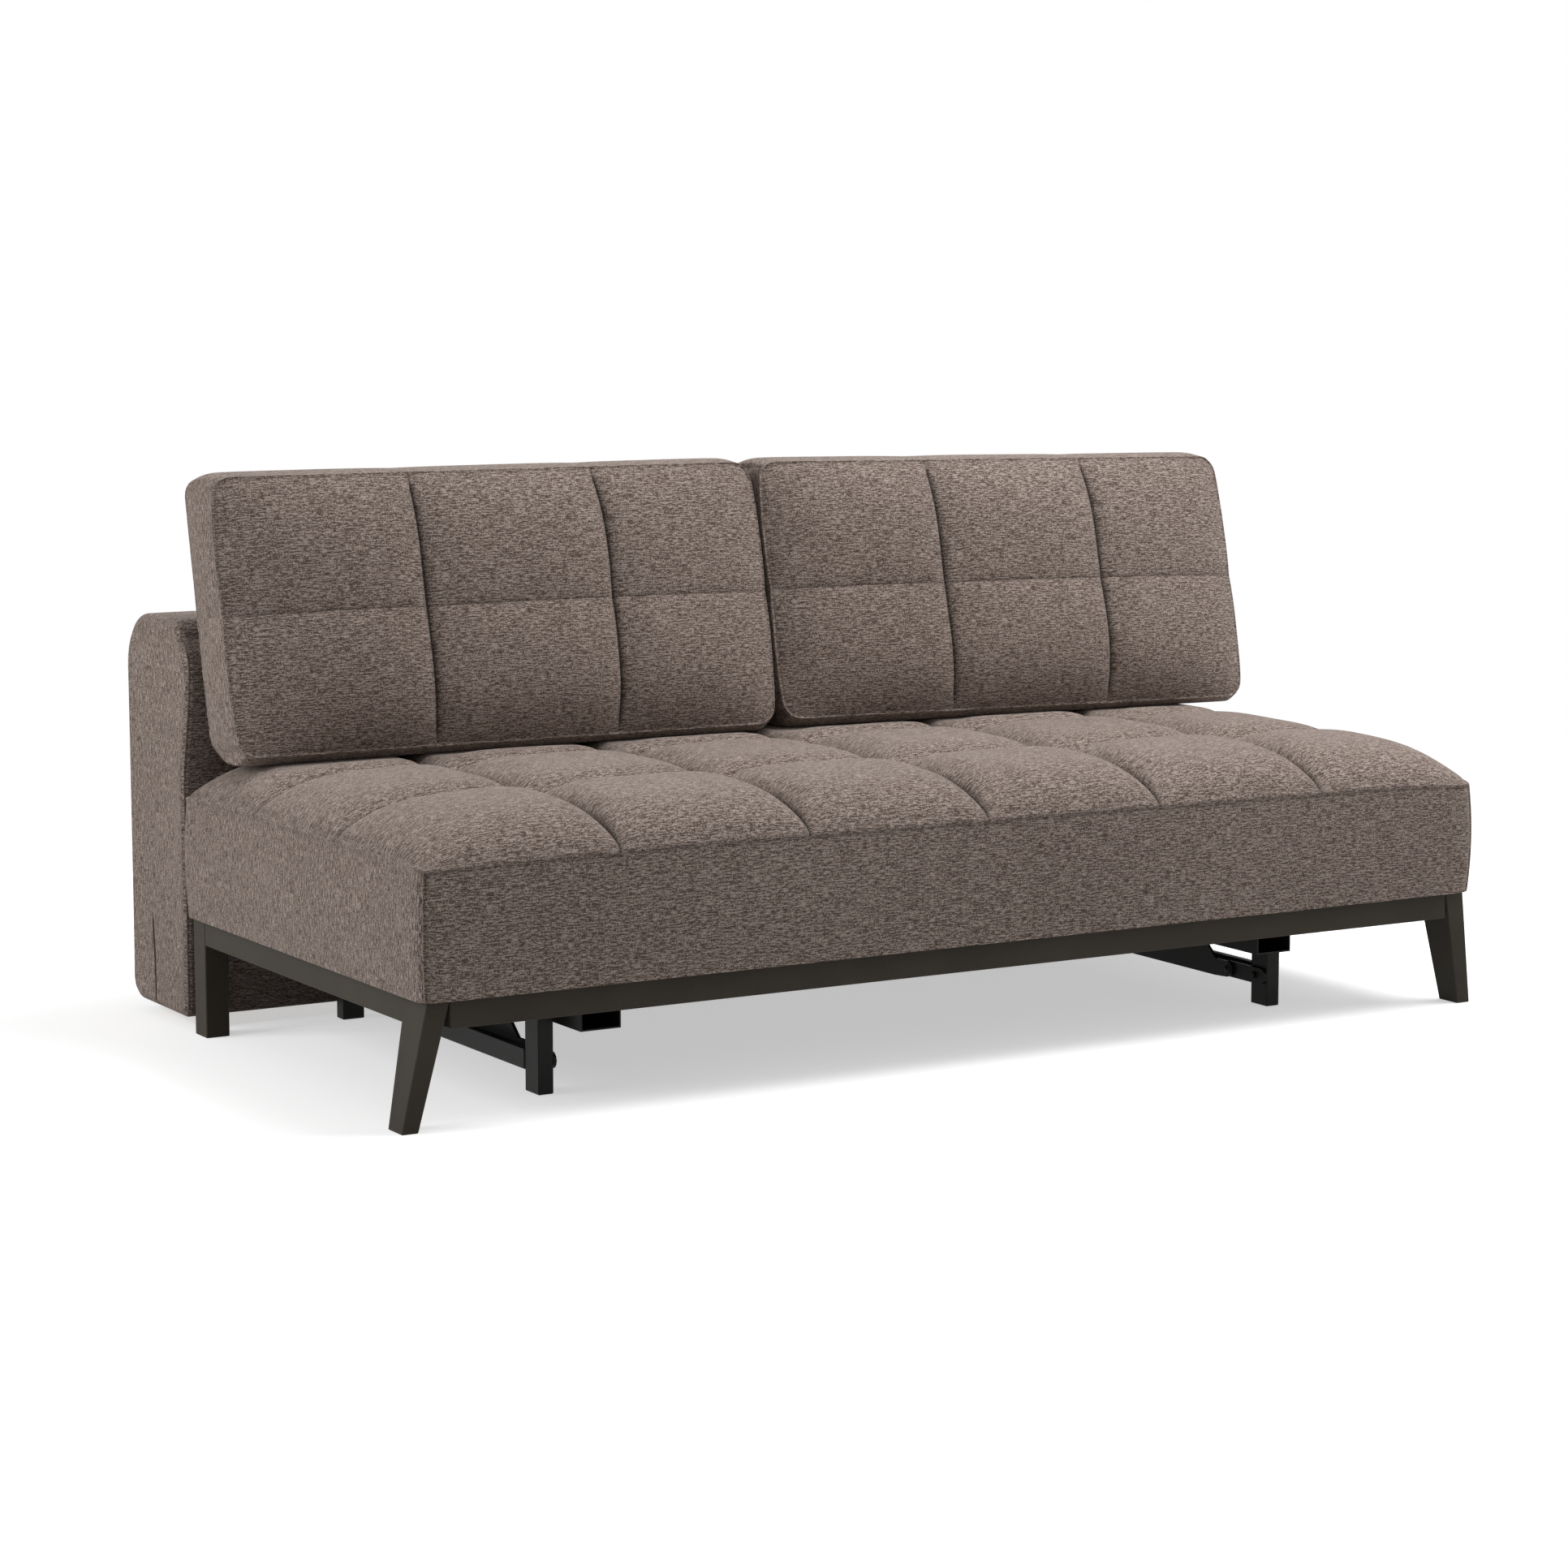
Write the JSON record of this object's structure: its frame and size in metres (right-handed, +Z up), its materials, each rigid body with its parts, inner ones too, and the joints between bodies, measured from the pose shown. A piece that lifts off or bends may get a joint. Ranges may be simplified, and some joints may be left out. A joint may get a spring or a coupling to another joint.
{
  "type": "futon sofa bed",
  "caption": "Upholstered sofa bed: tufted seat on a painted steel frame, two loose cushions, and a box back that turns over on swing arms to make a flat bed.",
  "frame": {"origin": "on the floor, under the middle of the closed sofa's outer box", "axes": "+X along the sofa, to the right as seen from the front; +Y towards the back; +Z up"},
  "size_m": [2.0714, 1.216, 0.9441],
  "materials": {
    "bronze_paint": "satin",
    "black_steel": "satin",
    "zinc": "satin",
    "beech": "planed",
    "plywood": "sanded",
    "webbing": "woven",
    "foam": "open cell",
    "taupe_cloth": "woven, heathered",
    "black_cloth": "non-woven"
  },
  "bodies": {
    "seat_unit": {"front_rail": "bronze_paint", "rear_rail": "bronze_paint", "side_rail_left": "bronze_paint", "side_rail_right": "bronze_paint", "front_leg_left": "bronze_paint", "front_leg_right": "bronze_paint", "rear_leg_left": "bronze_paint", "rear_leg_right": "bronze_paint", "mid_leg_front_left": "black_steel", "mid_leg_front_right": "black_steel", "mid_leg_rear_left": "black_steel", "mid_leg_rear_right": "black_steel", "bearer_left": "black_steel", "bearer_right": "black_steel", "slide_tube_left": "black_steel", "slide_tube_right": "black_steel", "hinge_bar_left": "black_steel", "hinge_bar_right": "black_steel", "stretcher_left": "black_steel", "stretcher_right": "black_steel", "link_plate_left": "black_steel", "link_plate_right": "black_steel", "link_bracket_left": "black_steel", "link_bracket_right": "black_steel", "fold_pin_left": "zinc", "fold_pin_right": "zinc", "seat_base_board": "plywood", "seat_board_front": "beech", "seat_board_rear": "beech", "seat_board_left": "beech", "seat_board_right": "beech", "seat_webbing": "webbing", "seat_foam": "foam", "seat_cover": "taupe_cloth", "dust_cloth": "black_cloth"},
    "swing_arms": {"swing_arm_left": "black_steel", "swing_arm_right": "black_steel"},
    "backrest": {"back_cover": "taupe_cloth", "back_base_board_left": "beech", "back_base_board_middle": "beech", "back_base_board_right": "beech", "back_top_board": "beech", "back_end_board_left": "beech", "back_end_board_right": "beech", "back_front_panel": "plywood", "back_rear_panel": "plywood", "hinge_bracket_left": "black_steel", "hinge_bracket_right": "black_steel", "tilt_pin_left": "zinc", "tilt_pin_right": "zinc", "bed_leg_bracket_left": "black_steel", "bed_leg_bracket_right": "black_steel", "bed_leg_pin_left": "zinc", "bed_leg_pin_right": "zinc"},
    "bed_leg": {"bed_leg_tube_left": "black_steel", "bed_leg_tube_right": "black_steel", "bed_leg_crossbar": "black_steel"},
    "cushion_left": {"back_cushion_left": "taupe_cloth"},
    "cushion_right": {"back_cushion_right": "taupe_cloth"}
  },
  "joints": [
    {"name": "fold", "type": "hinge", "parent": "seat_unit", "child": "swing_arms", "pos_m": [0, 0.352, 0.135], "axis": [1, 0, 0], "range_deg": [0, 90]},
    {"name": "back_tilt", "type": "hinge", "parent": "swing_arms", "child": "backrest", "pos_m": [0, 0.502, 0.0825], "axis": [-1, 0, 0], "range_deg": [0, 180]},
    {"name": "bed_leg_swing", "type": "hinge", "parent": "backrest", "child": "bed_leg", "pos_m": [0, 0.598, 0.6], "axis": [1, 0, 0], "range_deg": [0, 90]},
    {"name": "cushion_left_lift", "type": "slide", "parent": "seat_unit", "child": "cushion_left", "axis": [0, 0.2199, 0.9755], "range_m": [0, 0.4]},
    {"name": "cushion_right_lift", "type": "slide", "parent": "seat_unit", "child": "cushion_right", "axis": [0, 0.2199, 0.9755], "range_m": [0, 0.4]}
  ],
  "couplings": [
    {"joint": "back_tilt", "follows": "fold", "ratio": 2},
    {"joint": "bed_leg_swing", "follows": "fold", "ratio": 1}
  ]
}
